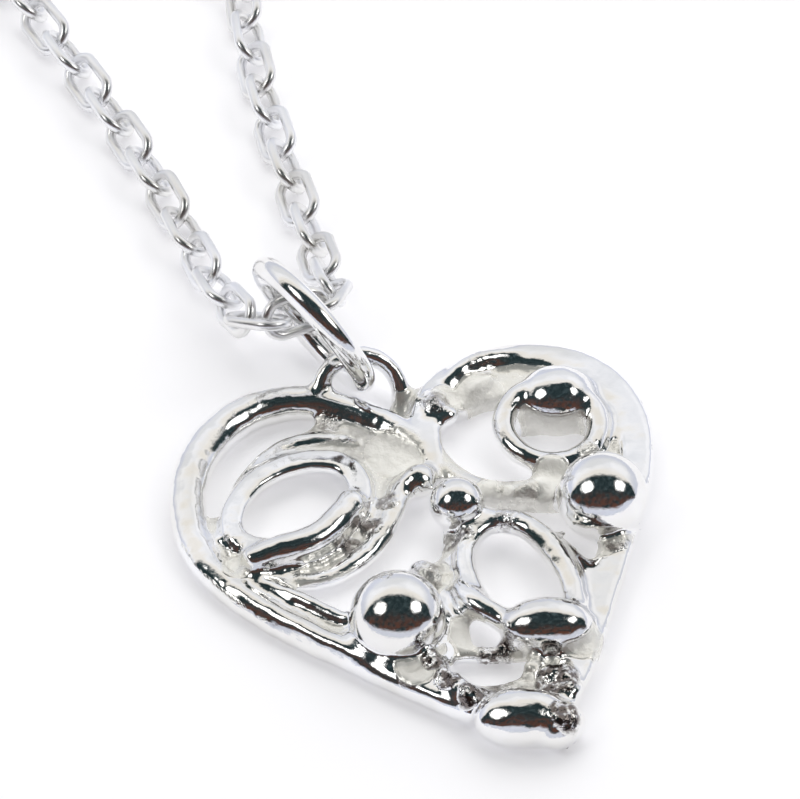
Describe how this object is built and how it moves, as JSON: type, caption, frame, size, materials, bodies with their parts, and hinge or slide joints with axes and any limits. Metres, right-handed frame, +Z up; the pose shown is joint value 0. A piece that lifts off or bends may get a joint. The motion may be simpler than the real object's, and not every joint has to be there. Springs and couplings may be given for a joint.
{
  "type": "heart pendant necklace",
  "caption": "Heart pendant of fused round silver wire, rings and melted beads with a flat back, lying on its back, with a bail ring on a whole cable chain that closes with a plain clasp.",
  "frame": {"origin": "middle of the heart's flat back, on the surface that the necklace lies on", "axes": "+Z up from the back through the heart's face, +Y from the heart's tip through its notch towards the clasp, +X to the right seen from above"},
  "size_m": [0.0837, 0.2266, 0.0074],
  "materials": {
    "fused_silver": "bright fused silver with grainy frosted joints",
    "ring_silver": "polished round silver wire",
    "chain_silver": "polished silver chain wire"
  },
  "bodies": {
    "root": {"heart": "fused_silver", "bail_ring": "ring_silver", "chain": "chain_silver", "end_ring_left": "chain_silver", "end_ring_right": "chain_silver", "clasp": "chain_silver"}
  },
  "joints": []
}
